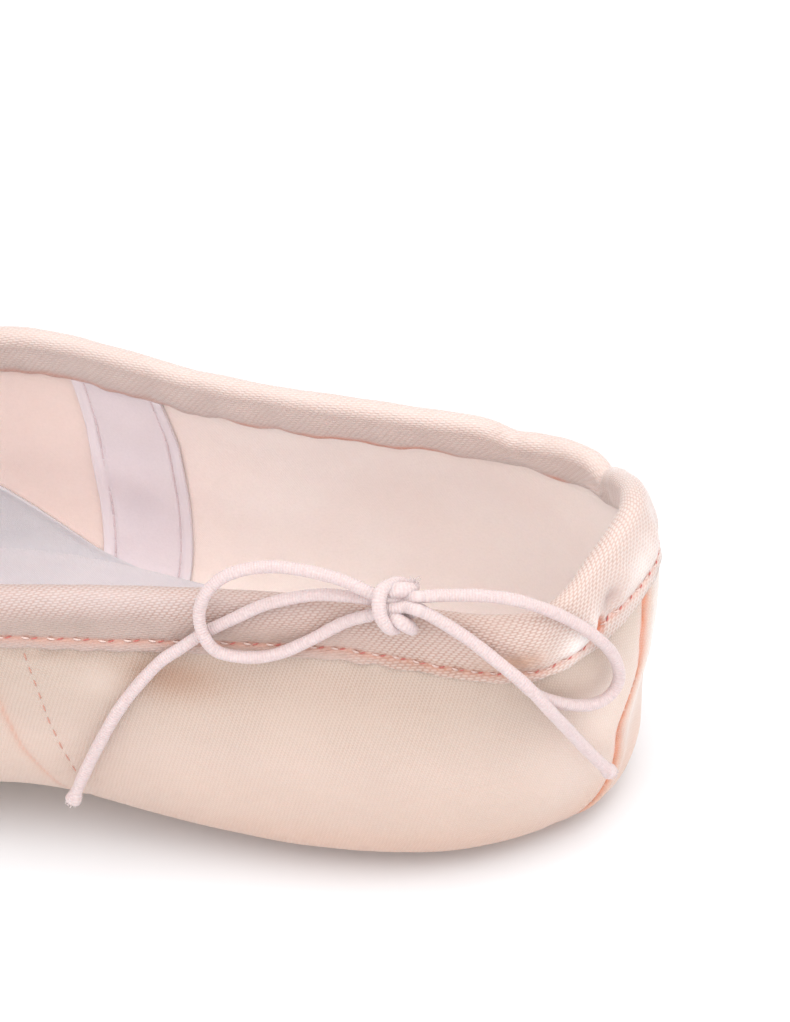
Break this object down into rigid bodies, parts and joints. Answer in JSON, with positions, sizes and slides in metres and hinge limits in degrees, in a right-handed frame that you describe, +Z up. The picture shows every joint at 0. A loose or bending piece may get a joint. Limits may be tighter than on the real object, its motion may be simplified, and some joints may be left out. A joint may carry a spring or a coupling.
{
  "type": "pointe shoe",
  "caption": "Satin pointe shoe with a stiffened toe box and flat platform, a gathered drawstring casing round the opening and an elastic bow at the side of the heel.",
  "frame": {"origin": "on the floor, under the middle of the shoe's length and on its centre line", "axes": "+Z up from the floor the shoe stands on, +X from heel to toe, +Y towards the side that carries the bow"},
  "size_m": [0.2268, 0.0776, 0.0607],
  "materials": {
    "satin": "pale peach-pink satin, softly glossy, fine diagonal weave",
    "binding": "folded satin tape, gathered on its elastic, one row of salmon stitches",
    "sole_leather": "thin suede-side leather, matt",
    "insole_cotton": "white cotton cloth, matt",
    "elastic": "round braided elastic, matt"
  },
  "bodies": {
    "root": {"upper": "satin", "collar_binding": "binding", "outsole": "sole_leather", "insole": "insole_cotton", "drawstring_knot": "elastic", "drawstring_loop_left": "elastic", "drawstring_loop_right": "elastic", "drawstring_tail_left": "elastic", "drawstring_tail_right": "elastic"}
  },
  "joints": []
}
